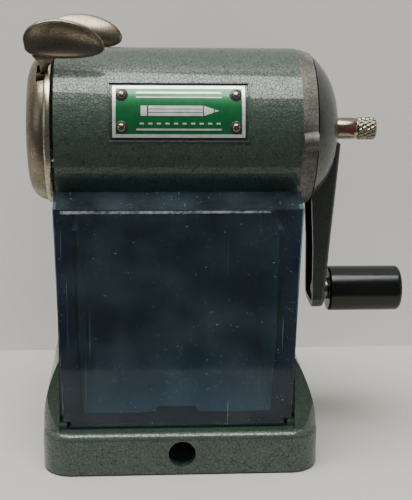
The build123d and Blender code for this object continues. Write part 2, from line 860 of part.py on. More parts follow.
feed_springs.part.label = "feed_springs"
export_step(feed_springs.part, "parts/feed_springs.step")

# ---- Shavings drawer, moulded in transparent blue ----
front_y = -29.0
front_t = 2.8
front_low = 14.8
front_fold = 84.5
front_half_top = 37.25
front_half_low = 35.75
notch_w = 2.4
notch_h = 2.0
bin_side = 0.4  # clearance to the cheeks
bin_t = 1.6
bin_top = 77.5
bin_back = 21.6
bin_left = case_left + cheek_t + bin_side
bin_right = case_right - cheek_t - bin_side

with BuildPart() as shavings_drawer:
    with BuildSketch(Plane.XZ.offset(-front_y)):
        with Locations((case_mid, 0)):
            Polygon(
                (-front_half_top, front_fold),
                (-front_half_low, front_low + notch_h),
                (notch_w - front_half_low, front_low + notch_h),
                (notch_w - front_half_low, front_low),
                (front_half_low - notch_w, front_low),
                (front_half_low - notch_w, front_low + notch_h),
                (front_half_low, front_low + notch_h),
                (front_half_top, front_fold),
                align=None,
            )
    extrude(amount=-front_t)
    # lip that slopes back under the case
    with BuildSketch(Plane.YZ.offset(case_mid - front_half_top)):
        Polygon(
            (front_y, front_fold - 1.2),
            (front_y, front_fold),
            (-21.3, 88.2),
            (-21.3, 86.6),
            (front_y + front_t, front_fold - 0.4),
            (front_y + front_t, front_fold - 1.2),
            align=None,
        )
    extrude(amount=2 * front_half_top)
    # bin behind the plate, its floor rising to the back
    with BuildSketch(Plane.YZ.offset(bin_left)):
        Polygon(
            (front_y + front_t, 15.4), (front_y + front_t, bin_top), (bin_back, bin_top), (bin_back, 24.4),
            align=None,
        )
    extrude(amount=bin_right - bin_left)
    with BuildSketch(Plane.YZ.offset(bin_left + bin_t)):
        Polygon(
            (front_y + front_t, 17.0), (front_y + front_t, 80), (bin_back - bin_t, 80), (bin_back - bin_t, 25.8),
            align=None,
        )
    extrude(amount=bin_right - bin_left - 2 * bin_t, mode=Mode.SUBTRACT)
    # rib inside the lower edge that a fingernail catches
    with BuildSketch(Plane.XZ.offset(-front_y - front_t)):
        with Locations((case_mid - 1.5, 18.1)):
            Trapezoid(13.0, 2.4, 70)
    extrude(amount=-1.6)

shavings_drawer.part.label = "shavings_drawer"
export_step(shavings_drawer.part, "parts/shavings_drawer.step")
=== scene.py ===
import math

import bmesh
import bpy
from mathutils import Matrix, Vector


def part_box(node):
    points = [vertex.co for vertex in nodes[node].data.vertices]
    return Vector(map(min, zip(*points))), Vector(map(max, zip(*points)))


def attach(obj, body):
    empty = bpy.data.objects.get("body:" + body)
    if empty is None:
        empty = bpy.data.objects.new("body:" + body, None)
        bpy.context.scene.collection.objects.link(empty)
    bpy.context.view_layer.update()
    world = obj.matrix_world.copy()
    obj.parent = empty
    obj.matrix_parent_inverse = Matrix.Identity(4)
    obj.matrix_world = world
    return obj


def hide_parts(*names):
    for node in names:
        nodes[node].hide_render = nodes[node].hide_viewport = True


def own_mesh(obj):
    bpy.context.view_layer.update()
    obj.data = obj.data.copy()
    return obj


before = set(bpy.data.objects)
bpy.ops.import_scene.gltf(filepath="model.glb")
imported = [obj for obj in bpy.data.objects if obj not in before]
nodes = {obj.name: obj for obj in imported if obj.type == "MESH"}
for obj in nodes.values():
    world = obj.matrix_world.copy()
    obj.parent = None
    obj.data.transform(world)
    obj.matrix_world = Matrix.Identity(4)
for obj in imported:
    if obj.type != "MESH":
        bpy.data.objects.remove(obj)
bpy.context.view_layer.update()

mm = 0.001

# ---- Camera ----
# A long lens, a third of a metre in front of the sharpener and a little above its top, looks
# four degrees to the right and sixteen down.
view_place = Vector((-26.6, -329.7, 159.7)) * mm
view_turn, view_tilt, view_roll = -0.0672, -0.2827, -0.0138
camera_data = bpy.data.cameras.new("camera")
camera_data.sensor_width = 36.0
camera_data.lens = 75.6
camera_data.clip_start = 0.01
camera = bpy.data.objects.new("camera", camera_data)
camera.matrix_world = (
    Matrix.Translation(view_place)
    @ Matrix.Rotation(view_turn, 4, "Z")
    @ Matrix.Rotation(view_tilt, 4, "X")
    @ Matrix.Rotation(view_roll, 4, "Y")
    @ Matrix.Rotation(math.pi / 2, 4, "X")
)
bpy.context.collection.objects.link(camera)
bpy.context.scene.camera = camera


# ---- Desk, wall and light ----
# A pale painted wall stands close behind a pale desk top, whose front edge is a hand's width in front
# of the foot. The light is a broad soft ceiling panel in front of and above the sharpener, a weaker
# one at each side, and the room's own glow.
def linear(code):
    """An sRGB hex colour as linear light, with alpha."""
    parts = [int(code[i : i + 2], 16) / 255 for i in (1, 3, 5)]
    return [p / 12.92 if p <= 0.04045 else ((p + 0.055) / 1.055) ** 2.4 for p in parts] + [1.0]


def add_node(tree, kind, values=None, links=None, **settings):
    """A shader node with its settings, its fixed inputs and what feeds its other inputs."""
    made = tree.nodes.new(kind)
    for name, value in settings.items():
        setattr(made, name, value)
    for name, value in (values or {}).items():
        made.inputs[name].default_value = value
    for name, source in (links or {}).items():
        tree.links.new(source, made.inputs[name])
    return made


def new_material(name):
    """An empty material, its node tree and its Object coordinates."""
    made = bpy.data.materials.new(name)
    made.use_nodes = True
    tree = made.node_tree
    tree.nodes.clear()
    place = add_node(tree, "ShaderNodeTexCoord").outputs["Object"]
    return made, tree, place


def close_material(tree, shader):
    """Joins a shader to the material's output."""
    add_node(tree, "ShaderNodeOutputMaterial", links={"Surface": shader})


def finish_mesh(shape, name):
    """Turns a finished bmesh into an object at the origin, in the scene."""
    data = bpy.data.meshes.new(name)
    shape.to_mesh(data)
    shape.free()
    made = bpy.data.objects.new(name, data)
    bpy.context.collection.objects.link(made)
    return made


def painted_plaster(name, code):
    """Matt wall paint on plaster, with a fine grain and faint smudges."""
    made, tree, place = new_material(name)
    grain = add_node(tree, "ShaderNodeTexNoise", {"Scale": 300.0, "Detail": 4.0}, {"Vector": place})
    bump = add_node(
        tree, "ShaderNodeBump", {"Strength": 0.05, "Distance": 0.0002}, {"Height": grain.outputs["Fac"]}
    )
    smudge = add_node(tree, "ShaderNodeTexNoise", {"Scale": 14.0, "Detail": 7.0}, {"Vector": place})
    spread = add_node(
        tree, "ShaderNodeMapRange", {"To Min": 0.88, "To Max": 1.1}, {"Value": smudge.outputs["Fac"]}
    )
    tint = add_node(
        tree,
        "ShaderNodeVectorMath",
        {0: linear(code)[:3]},
        {"Scale": spread.outputs["Result"]},
        operation="SCALE",
    )
    paint = add_node(
        tree,
        "ShaderNodeBsdfPrincipled",
        {"Roughness": 0.75},
        {"Base Color": tint.outputs["Vector"], "Normal": bump.outputs["Normal"]},
    )
    # the wall is drawn on its room side only, so that the sharpener's back can be looked at too
    side = add_node(tree, "ShaderNodeNewGeometry")
    nothing = add_node(tree, "ShaderNodeBsdfTransparent")
    both = add_node(
        tree,
        "ShaderNodeMixShader",
        links={0: side.outputs["Backfacing"], 1: paint.outputs["BSDF"], 2: nothing.outputs["BSDF"]},
    )
    close_material(tree, both.outputs["Shader"])
    return made


wall_y = 0.074
desk_edge_y = -0.11
half_sheet = 2.0
desk_shape = bmesh.new()
bmesh.ops.create_grid(desk_shape, x_segments=1, y_segments=1, size=half_sheet)
bmesh.ops.translate(desk_shape, verts=desk_shape.verts, vec=(0, half_sheet + desk_edge_y, 0))
desk = finish_mesh(desk_shape, "desk")
desk.data.materials.append(painted_plaster("desk_paint", "#c4c3be"))
wall_shape = bmesh.new()
bmesh.ops.create_grid(wall_shape, x_segments=1, y_segments=1, size=half_sheet)
bmesh.ops.rotate(wall_shape, verts=wall_shape.verts, matrix=Matrix.Rotation(math.pi / 2, 3, "X"))
bmesh.ops.translate(wall_shape, verts=wall_shape.verts, vec=(0, wall_y, half_sheet))
wall = finish_mesh(wall_shape, "wall")
wall.data.materials.append(painted_plaster("wall_paint", "#e6e5e1"))


def panel_light(name, place, target, size, power, colour="#ffffff"):
    """A soft rectangular light that faces its target."""
    data = bpy.data.lights.new(name, "AREA")
    data.shape = "RECTANGLE"
    data.size, data.size_y = size
    data.energy = power
    data.color = linear(colour)[:3]
    lamp = bpy.data.objects.new(name, data)
    lamp.location = place
    lamp.rotation_euler = (Vector(target) - Vector(place)).to_track_quat("-Z", "Y").to_euler()
    bpy.context.collection.objects.link(lamp)


middle = (-0.013, 0.0, 0.07)
panel_light("ceiling_panel", (-0.12, -0.2, 0.95), middle, (0.9, 0.5), 15.5, "#fffdf8")
panel_light("left_panel", (-0.9, -0.5, 0.45), middle, (0.6, 0.6), 1.0, "#f4f8ff")
panel_light("right_panel", (0.9, -0.45, 0.4), middle, (0.5, 0.6), 0.7, "#fff8f0")
world = bpy.data.worlds.new("room")
world.use_nodes = True
world.node_tree.nodes["Background"].inputs["Color"].default_value = linear("#dfe2e4")
world.node_tree.nodes["Background"].inputs["Strength"].default_value = 0.2
bpy.context.scene.world = world


# ---- Housing ----
# Case, pedestal and foot are one zinc casting, sprayed with hammertone enamel: an aluminium-loaded
# green-grey lacquer that dries in small shiny pools with darker edges, over an uneven ground.
weld = 0.002 * mm


def smooth_copy(node, name, angle=32.0, edge=0.0):
    """A welded copy of a CAD piece, smooth-shaded, its real corners sharp or rounded by edge."""
    shape = bmesh.new()
    shape.from_mesh(nodes[node].data)
    bmesh.ops.remove_doubles(shape, verts=shape.verts, dist=weld)
    bmesh.ops.dissolve_limit(shape, angle_limit=math.radians(0.3), verts=shape.verts, edges=shape.edges)
    made = finish_mesh(shape, name)
    if edge:
        rounded = made.modifiers.new("edge", "BEVEL")
        rounded.width = edge
        rounded.segments = 2
        rounded.limit_method = "ANGLE"
        rounded.angle_limit = math.radians(angle)
    weighed = made.modifiers.new("weighed", "WEIGHTED_NORMAL")
    weighed.keep_sharp = True
    made.data.materials.clear()
    made.data.shade_smooth()
    made.data.set_sharp_from_angle(angle=math.radians(angle))
    return made


def dress(piece, finish, body, slot, *replaced):
    """Gives a finished piece its material and its body, and hides the CAD pieces it stands for; slot is not
    used.
    """
    piece.data.materials.append(finish)
    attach(piece, body)
    if replaced:
        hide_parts(*replaced)


def hammertone_enamel(name, pool_code, edge_code, pool_size, gloss, lump):
    """Pools of paint, each a little lighter or darker, under a clear gloss on a lumpy ground."""
    made, tree, place = new_material(name)
    wobble = add_node(
        tree, "ShaderNodeTexNoise", {"Scale": 0.6 / pool_size, "Detail": 3.0}, {"Vector": place}
    )
    shift = add_node(
        tree,
        "ShaderNodeVectorMath",
        {1: [0.9 * pool_size] * 3},
        {0: wobble.outputs["Color"]},
        operation="MULTIPLY",
    )
    bent = add_node(
        tree, "ShaderNodeVectorMath", links={0: place, 1: shift.outputs["Vector"]}, operation="ADD"
    )
    edges = add_node(
        tree,
        "ShaderNodeTexVoronoi",
        {"Scale": 1 / pool_size},
        {"Vector": bent.outputs["Vector"]},
        feature="DISTANCE_TO_EDGE",
    )
    pools = add_node(
        tree, "ShaderNodeTexVoronoi", {"Scale": 1 / pool_size}, {"Vector": bent.outputs["Vector"]}
    )
    fine = add_node(tree, "ShaderNodeTexNoise", {"Scale": 2.2 / pool_size, "Detail": 2.0}, {"Vector": place})
    vein = add_node(
        tree,
        "ShaderNodeMapRange",
        {"From Min": 0.0, "From Max": 0.12, "To Min": 0.25, "To Max": 1.0},
        {"Value": edges.outputs["Distance"]},
        interpolation_type="SMOOTHSTEP",
    )
    patchy = add_node(
        tree,
        "ShaderNodeMapRange",
        {"From Min": 0.46, "From Max": 0.66, "To Min": 0.0, "To Max": 0.9},
        {"Value": fine.outputs["Fac"]},
    )
    broken = add_node(
        tree,
        "ShaderNodeMath",
        links={0: vein.outputs["Result"], 1: patchy.outputs["Result"]},
        operation="MAXIMUM",
    )
    tone = add_node(
        tree,
        "ShaderNodeMix",
        {6: linear(edge_code), 7: linear(pool_code)},
        {0: broken.outputs["Value"]},
        data_type="RGBA",
    )
    spread = add_node(
        tree, "ShaderNodeMapRange", {"To Min": 0.84, "To Max": 1.12}, {"Value": pools.outputs["Color"]}
    )
    lit = add_node(
        tree,
        "ShaderNodeVectorMath",
        links={0: tone.outputs[2], "Scale": spread.outputs["Result"]},
        operation="SCALE",
    )
    peel = add_node(tree, "ShaderNodeTexNoise", {"Scale": 1 / (3.5 * mm), "Detail": 3.0}, {"Vector": place})
    lumps = add_node(
        tree, "ShaderNodeBump", {"Strength": 0.6, "Distance": lump}, {"Height": peel.outputs["Fac"]}
    )
    bump = add_node(
        tree,
        "ShaderNodeBump",
        {"Strength": 0.7, "Distance": 0.1 * mm},
        {"Height": broken.outputs["Value"], "Normal": lumps.outputs["Normal"]},
    )
    film = add_node(
        tree, "ShaderNodeMapRange", {"To Min": 0.05, "To Max": 0.75}, {"Value": broken.outputs["Value"]}
    )
    dull = add_node(
        tree, "ShaderNodeMapRange", {"To Min": 0.7, "To Max": 0.4}, {"Value": broken.outputs["Value"]}
    )
    paint = add_node(
        tree,
        "ShaderNodeBsdfPrincipled",
        {"Metallic": 0.1, "Coat Roughness": gloss},
        {
            "Base Color": lit.outputs["Vector"],
            "Roughness": dull.outputs["Result"],
            "Coat Weight": film.outputs["Result"],
            "Normal": bump.outputs["Normal"],
        },
    )
    close_material(tree, paint.outputs["BSDF"])
    return made


hammertone = hammertone_enamel("hammertone_enamel", "#374a3e", "#080c09", 1.1 * mm, 0.1, 0.5 * mm)
housing = smooth_copy("housing", "housing_casting", 32.0, 0.35 * mm)
dress(housing, hammertone, "frame", "hammer_green", "housing")


# ---- Gear plate ----
# The ring between case and crank is bare zinc as it left the sand mould, dulled by handling.
def sand_cast(name, code):
    """Bare cast metal with a sandy grain and lighter and darker stains."""
    made, tree, place = new_material(name)
    sand = add_node(tree, "ShaderNodeTexNoise", {"Scale": 1 / (0.8 * mm), "Detail": 5.0}, {"Vector": place})
    stain = add_node(tree, "ShaderNodeTexNoise", {"Scale": 1 / (9 * mm), "Detail": 3.0}, {"Vector": place})
    grains = add_node(
        tree,
        "ShaderNodeMath",
        links={0: sand.outputs["Fac"], 1: stain.outputs["Fac"]},
        operation="MULTIPLY",
    )
    spread = add_node(
        tree,
        "ShaderNodeMapRange",
        {"From Min": 0.12, "From Max": 0.4, "To Min": 0.45, "To Max": 1.5},
        {"Value": grains.outputs["Value"]},
    )
    tint = add_node(
        tree,
        "ShaderNodeVectorMath",
        {0: linear(code)[:3]},
        {"Scale": spread.outputs["Result"]},
        operation="SCALE",
    )
    bump = add_node(
        tree, "ShaderNodeBump", {"Strength": 1.0, "Distance": 0.12 * mm}, {"Height": sand.outputs["Fac"]}
    )
    metal = add_node(
        tree,
        "ShaderNodeBsdfPrincipled",
        {"Metallic": 0.55, "Roughness": 0.55},
        {"Base Color": tint.outputs["Vector"], "Normal": bump.outputs["Normal"]},
    )
    close_material(tree, metal.outputs["BSDF"])
    return made


bare_zinc = sand_cast("sand_cast_zinc", "#74726b")
gear_plate = smooth_copy("gear_plate", "gear_plate_casting", 32.0, 0.2 * mm)
dress(gear_plate, bare_zinc, "frame", "cast_grey", "gear_plate")


# ---- Crank ----
# Dome and channel arm are one casting in the same enamel, sprayed thinner so that the dome is
# smoother and darker. It screws on to the end of the carrier's shaft.
dark_enamel = hammertone_enamel("crank_enamel", "#252d29", "#0e1310", 1.05 * mm, 0.08, 0.15 * mm)
crank_arm = smooth_copy("crank_arm", "crank_casting", 32.0, 0.3 * mm)
dress(crank_arm, dark_enamel, "crank", "green_gloss", "crank_arm")


# ---- Face cup ----
# Drawn steel, nickel-plated. Years of handling have left the cup and the ears brown and speckled; the
# turned parts, such as the knob, are still bright.
def nickel_plate(name, code, stain_code, stained, rough):
    """Nickel plating with clouds and specks of tarnish, rougher where it is stained."""
    made, tree, place = new_material(name)
    cloud = add_node(tree, "ShaderNodeTexNoise", {"Scale": 1 / (6 * mm), "Detail": 6.0}, {"Vector": place})
    speck = add_node(tree, "ShaderNodeTexNoise", {"Scale": 1 / (0.7 * mm), "Detail": 3.0}, {"Vector": place})
    both = add_node(
        tree,
        "ShaderNodeMath",
        links={0: cloud.outputs["Fac"], 1: speck.outputs["Fac"]},
        operation="MULTIPLY",
    )
    dirt = add_node(
        tree,
        "ShaderNodeMapRange",
        {"From Min": 0.16, "From Max": 0.42, "To Min": 0.0, "To Max": stained},
        {"Value": both.outputs["Value"]},
    )
    tint = add_node(
        tree,
        "ShaderNodeMix",
        {6: linear(code), 7: linear(stain_code)},
        {0: dirt.outputs["Result"]},
        data_type="RGBA",
    )
    haze = add_node(
        tree,
        "ShaderNodeMapRange",
        {"To Min": rough, "To Max": rough + 0.25},
        {"Value": dirt.outputs["Result"]},
    )
    bump = add_node(
        tree, "ShaderNodeBump", {"Strength": 0.08, "Distance": 0.05 * mm}, {"Height": speck.outputs["Fac"]}
    )
    metal = add_node(
        tree,
        "ShaderNodeBsdfPrincipled",
        {"Metallic": 1.0},
        {
            "Base Color": tint.outputs[2],
            "Roughness": haze.outputs["Result"],
            "Normal": bump.outputs["Normal"],
        },
    )
    close_material(tree, metal.outputs["BSDF"])
    return made


tarnished = nickel_plate("tarnished_nickel", "#857b6c", "#544a3c", 0.8, 0.26)
bright = nickel_plate("bright_nickel", "#948c7d", "#564e42", 0.6, 0.16)
face_cup = smooth_copy("face_cup", "face_cup_shell")
dress(face_cup, tarnished, "face", "nickel", "face_cup")


# ---- Ears ----
# Each ear is one stamping: a dished thumb pad, a neck that narrows to the slot in the cup, and the
# flat lever and jaw behind it. The rear pad stands a little further over the case.
pad_mid, pad_low = -47.9 * mm, 127.2 * mm
pad_half = 11.6 * mm
pad_waist = 131.0 * mm
pad_slant = 2.2 * mm
pad_droop = 0.6
lean_z, lean_out, lean_slope = 127.5 * mm, 16.0 * mm, 0.27
dish_depth, dish_rise = 2.3 * mm, 1.5 * mm
sheet_t = 1.1 * mm
lever_top = 122.4 * mm


def pad_lean(height):
    """How far out from the middle the stamping stands at a height."""
    return lean_out + lean_slope * (height - lean_z)


def ear_pad(side, shift, pad_high):
    """The dished pad: a disc of rings, pulled out to the pad's outline and pressed in at its middle."""
    pad = bmesh.new()
    spokes = [pad.verts.new((0.01 + 0.99 * step / 9, 0, 0)) for step in range(10)]
    rays = [pad.edges.new(pair) for pair in zip(spokes, spokes[1:])]
    bmesh.ops.spin(
        pad, geom=spokes + rays, cent=(0, 0, 0), axis=(0, 0, 1), angle=math.tau, steps=72, use_merge=True
    )
    hub = [v for v in pad.verts if v.co.length < 0.02]
    bmesh.ops.contextual_create(pad, geom=hub)
    for vert in pad.verts:
        reach = min(vert.co.length, 1.0)
        turn = math.atan2(vert.co.y, vert.co.x)
        up = math.sin(turn)
        if up > 0:
            z = (pad_high - pad_waist) * up
        else:
            z = -(pad_waist - pad_low) * abs(up) ** pad_droop
        x = pad_half * math.cos(turn) - pad_slant * max(up, 0)
        height = pad_waist + reach * z + (1 - reach) * dish_rise
        out = pad_lean(height) - dish_depth * (1 - reach**2)
        vert.co = (pad_mid + shift + reach * x, side * out, height)
    return pad


# Each row of the neck: its height, its left and right ends, and how far it is set in from the pad.
neck_rows = [(128.8, -58.0, -48.6, 1.7), (127.5, -57.2, -49.8, 0.35), (126.2, -55.9, -51.6, 0.5)]
neck_rows += [(124.9, -55.3, -52.7, 1.1), (121.8, -55.5, -53.5, 2.4)]

for ear_side, side, pad_shift, pad_high in (("front", -1, 0.0, 138.4), ("rear", 1, 4.8, 137.6)):
    stamping = ear_pad(side, pad_shift * mm, pad_high * mm)
    rows = []
    for row_z, row_left, row_right, row_in in neck_rows:
        out = side * (pad_lean(row_z * mm) - row_in * mm)
        ends = [stamping.verts.new((x * mm, out, row_z * mm)) for x in (row_left, row_right)]
        rows.append(stamping.edges.new(ends))
    for upper, lower in zip(rows, rows[1:]):
        bmesh.ops.bridge_loops(stamping, edges=[upper, lower])
    bmesh.ops.recalc_face_normals(stamping, faces=stamping.faces)
    lever = bmesh.new()
    lever.from_mesh(nodes[f"ear_lever_{ear_side}"].data)
    bmesh.ops.remove_doubles(lever, verts=lever.verts, dist=weld)
    everything = lever.verts[:] + lever.edges[:] + lever.faces[:]
    bmesh.ops.bisect_plane(
        lever, geom=everything, plane_co=(0, 0, lever_top), plane_no=(0, 0, 1), clear_outer=True
    )
    bmesh.ops.holes_fill(lever, edges=[e for e in lever.edges if e.is_boundary])
    ear = finish_mesh(stamping, f"ear_{ear_side}_pad")
    thick = ear.modifiers.new("thickness", "SOLIDIFY")
    thick.thickness = sheet_t
    thick.offset = 0.0
    rounded = ear.modifiers.new("edge", "BEVEL")
    rounded.width = 0.25 * mm
    rounded.segments = 2
    rounded.limit_method = "ANGLE"
    ear.data.shade_smooth()
    dress(ear, tarnished, f"ear_{ear_side}", "nickel", f"ear_lever_{ear_side}")
    blade = finish_mesh(lever, f"ear_{ear_side}_lever")
    dress(blade, tarnished, f"ear_{ear_side}", "nickel")


# ---- Rim and knob ----
# The cup's rolled rim is a lighter nickel than the cup: a painted highlight. The knob is turned: a plain
# sleeve, a groove and a head with a diamond knurl. A red arrow shows which way it gives a finer point.
axis_z = 104.0 * mm


def turned(name, profile, height, steps=64):
    """A lathe piece on an axis along X: profile lists its stations and radii in millimetres."""
    shape = bmesh.new()
    line = [shape.verts.new((x * mm, 0, r * mm)) for x, r in profile]
    edges = [shape.edges.new(pair) for pair in zip(line, line[1:])]
    bmesh.ops.spin(
        shape, geom=line + edges, cent=(0, 0, 0), axis=(1, 0, 0), angle=math.tau, steps=steps, use_merge=True
    )
    bmesh.ops.remove_doubles(shape, verts=shape.verts, dist=0.001 * mm)
    bmesh.ops.recalc_face_normals(shape, faces=shape.faces)
    bmesh.ops.translate(shape, verts=shape.verts, vec=(0, 0, height))
    made = finish_mesh(shape, name)
    made.data.shade_smooth()
    made.data.set_sharp_from_angle(angle=math.radians(50))
    return made


# painted highlight: a lighter nickel on the rim stands for its bright line of reflected light
rim_painted_highlight_nickel = nickel_plate("rim_painted_highlight_nickel", "#b7ae9d", "#6d6353", 0.7, 0.2)
rim_profile = [(-54.4, 22.6), (-54.3, 23.0), (-54.0, 23.35), (-53.6, 23.5), (-52.5, 23.5), (-52.2, 23.35)]
rim_profile += [(-52.1, 23.0), (-52.1, 22.6), (-54.4, 22.6)]
cup_rim = turned("face_cup_rim", rim_profile, axis_z, 160)
dress(cup_rim, rim_painted_highlight_nickel, "face", "nickel")

knurl_left, knurl_right, knurl_r, knurl_depth = 43.4, 48.8, 3.6, 0.34
knurl_pitch, knurl_count, knurl_rings = 1.3, 15, 44
knob_profile = [(30.0, 0), (30.0, 2.6), (36.0, 2.6), (36.0, 3.0), (36.25, 3.3), (36.7, 3.45)]
knob_profile += [(42.2, 3.45), (42.7, 3.3), (43.0, 3.15), (43.3, 3.25), (knurl_left, 3.4)]
knurl_w = knurl_right - knurl_left
knob_profile += [(knurl_left + knurl_w * i / knurl_rings, knurl_r) for i in range(1, knurl_rings + 1)]
knob_profile += [(49.1, 3.2), (49.3, 2.8), (49.3, 0)]
knob = turned("point_knob_turning", knob_profile, axis_z, steps=150)
for vert in knob.data.vertices:
    x, y, z = vert.co.x / mm, vert.co.y / mm, (vert.co.z - axis_z) / mm
    if knurl_left + 0.05 < x < knurl_right + 0.05:
        around = knurl_count * math.atan2(z, y) / math.tau
        along = x / (2 * knurl_pitch)
        ridge = min(1 - abs(2 * ((around + along) % 1) - 1), 1 - abs(2 * ((around - along) % 1) - 1))
        reach = (knurl_r - knurl_depth + 1.6 * knurl_depth * min(ridge, 0.62)) / math.hypot(y, z)
        vert.co.y = y * reach * mm
        vert.co.z = axis_z + z * reach * mm
dress(knob, bright, "knob", "bright_nickel", "point_knob")


def wrapped(shape, radius, first_angle):
    """Wraps a flat shape round the crank axis: x stays, y becomes arc, z becomes height on the drum."""
    for vert in shape.verts:
        angle = first_angle + vert.co.y / radius
        reach = radius + vert.co.z
        vert.co.y = -reach * math.cos(angle)
        vert.co.z = axis_z + reach * math.sin(angle)


def flat_patch(corners, thickness, grid=0.6 * mm):
    """A flat plate on the given outline, cut across so that it can be wrapped."""
    patch = bmesh.new()
    patch.faces.new([patch.verts.new((x * mm, y * mm, 0)) for x, y in corners])
    lowest = min(y for _, y in corners) * mm
    highest = max(y for _, y in corners) * mm
    for cut in range(1, int((highest - lowest) / grid)):
        everything = patch.verts[:] + patch.edges[:] + patch.faces[:]
        level = (0, lowest + cut * grid, 0)
        bmesh.ops.bisect_plane(patch, geom=everything, plane_co=level, plane_no=(0, 1, 0))
    raised = bmesh.ops.extrude_face_region(patch, geom=patch.faces[:])
    tops = [g for g in raised["geom"] if isinstance(g, bmesh.types.BMVert)]
    bmesh.ops.translate(patch, verts=tops, vec=(0, 0, thickness))
    bmesh.ops.recalc_face_normals(patch, faces=patch.faces)
    return patch


def lacquer(name, code, rough, metallic=0.0):
    """A thin, cloudy lacquer under a clear coat, on metal where metallic is above zero; a dark one also
    paints shade.
    """
    made, tree, place = new_material(name)
    wear = add_node(tree, "ShaderNodeTexNoise", {"Scale": 1 / (2.5 * mm), "Detail": 5.0}, {"Vector": place})
    spread = add_node(
        tree, "ShaderNodeMapRange", {"To Min": 0.6, "To Max": 1.35}, {"Value": wear.outputs["Fac"]}
    )
    tint = add_node(
        tree,
        "ShaderNodeVectorMath",
        {0: linear(code)[:3]},
        {"Scale": spread.outputs["Result"]},
        operation="SCALE",
    )
    coat = add_node(
        tree,
        "ShaderNodeBsdfPrincipled",
        {"Roughness": rough, "Metallic": metallic, "Coat Weight": 0.6, "Coat Roughness": 0.1},
        {"Base Color": tint.outputs["Vector"]},
    )
    close_material(tree, coat.outputs["BSDF"])
    return made


sleeve_r = 3.45 * mm
arrow = flat_patch([(37.3, 0), (42.0, -1.75), (42.0, 1.75)], 0.06 * mm, 0.3 * mm)
wrapped(arrow, sleeve_r, 0.0)
arrow = finish_mesh(arrow, "knob_arrow")
dress(arrow, lacquer("red_arrow_paint", "#5c1f1a", 0.4), "knob", "bright_nickel")

# The riveted axle of the handle is turned from the same bright bar.
pin = smooth_copy("handle_axle", "handle_axle_turning")
dress(pin, bright, "crank", "bright_nickel", "handle_axle")


# ---- Name plate ----
# Embossed aluminium, lacquered green with its raised border and device left bare and polished. The
# device is a plain pencil between rules. Four dome-headed rivets hold it in its seat on the case.
green_lacquer = lacquer("green_lacquer", "#0f6b3a", 0.3, 0.5)
bare_aluminium = lacquer("bare_aluminium", "#e4e6e2", 0.35, 0.6)
# a dark lacquer that paints shade: the shadowed gap round the plate and a shadow ring under each rivet head
seat_painted_shade = lacquer("seat_and_rivet_painted_shade", "#1b211c", 0.6)
case_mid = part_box("housing")[0][0] + 42.25 * mm
plate_r = 24.65 * mm
plate_middle = math.radians(20.9)
plate_w, plate_h, plate_t = 39.0, 15.3, 0.5
border = 0.95
relief = 0.12 * mm
rivet_x, rivet_angle = 16.85 * mm, math.radians(11.2)


def on_plate(corners, thickness, base):
    """A flat detail of the plate at a height over its seat, wrapped on to the case."""
    patch = flat_patch(corners, thickness)
    bmesh.ops.translate(patch, verts=patch.verts, vec=(case_mid, 0, base))
    wrapped(patch, plate_r, plate_middle)
    return patch


def bar(left, right, low, high):
    return [(left, low), (right, low), (right, high), (left, high)]


def joined(shapes, name):
    """Several shapes as one piece."""
    whole = bmesh.new()
    for shape in shapes:
        data = bpy.data.meshes.new(name)
        shape.to_mesh(data)
        shape.free()
        whole.from_mesh(data)
        bpy.data.meshes.remove(data)
    return finish_mesh(whole, name)


half_w, half_h = plate_w / 2, plate_h / 2
plate_shape = on_plate(bar(-half_w, half_w, -half_h, half_h), plate_t * mm, 0)
plate_body = joined([plate_shape], "name_plate_body")
dress(plate_body, green_lacquer, "frame", "badge", "name_plate")
frame_bars = [
    bar(-half_w, half_w, half_h - border, half_h),
    bar(-half_w, half_w, -half_h, border - half_h),
    bar(-half_w, border - half_w, border - half_h, half_h - border),
    bar(half_w - border, half_w, border - half_h, half_h - border),
]
pencil = [
    bar(-9.0, 7.0, 0.65, 1.5),
    bar(-9.0, 7.0, -0.4, 0.45),
    bar(-9.0, 7.0, -1.45, -0.6),
    bar(-11.2, -9.4, -1.45, 1.5),
    [(7.3, -1.45), (10.2, -0.45), (10.2, 0.5), (7.3, 1.5)],
    [(10.5, -0.35), (11.8, 0.02), (10.5, 0.4)],
]
rules = [bar(-12.5, 12.5, 5.2, 5.7), bar(-12.5, 12.5, 3.9, 4.15), bar(-12.5, 12.5, -5.6, -5.1)]
dashes = [bar(-11.5 + 2.5 * i, -10.3 + 2.5 * i, -3.9, -3.4) for i in range(10)]
details = [on_plate(shape, relief, plate_t * mm) for shape in frame_bars + pencil + rules + dashes]
plate_device = joined(details, "name_plate_device")
dress(plate_device, bare_aluminium, "frame", "badge")


def frame_round(gap, width):
    """Four bars round the plate, a gap away from its edge."""
    inner_w, inner_h = half_w + gap, half_h + gap
    outer_w, outer_h = inner_w + width, inner_h + width
    return [
        bar(-outer_w, outer_w, inner_h, outer_h),
        bar(-outer_w, outer_w, -outer_h, -inner_h),
        bar(-outer_w, -inner_w, -inner_h, inner_h),
        bar(inner_w, outer_w, -inner_h, inner_h),
    ]


# painted shade in the gap round the plate's edge
seat_lines = [on_plate(shape, 0.3 * mm, 0.02 * mm) for shape in frame_round(0.0, 0.35)]
dress(joined(seat_lines, "name_plate_seat_painted_shade"), seat_painted_shade, "frame", "badge")
bead_lines = [on_plate(shape, 0.2 * mm, 0.33 * mm) for shape in frame_round(0.9, 0.55)]
bead = joined(bead_lines, "name_plate_enamel_bead")
round_bead = bead.modifiers.new("edge", "BEVEL")
round_bead.width = 0.14 * mm
round_bead.segments = 3
round_bead.limit_method = "ANGLE"
bead.data.shade_smooth()
dress(bead, hammertone, "frame", "hammer_green")


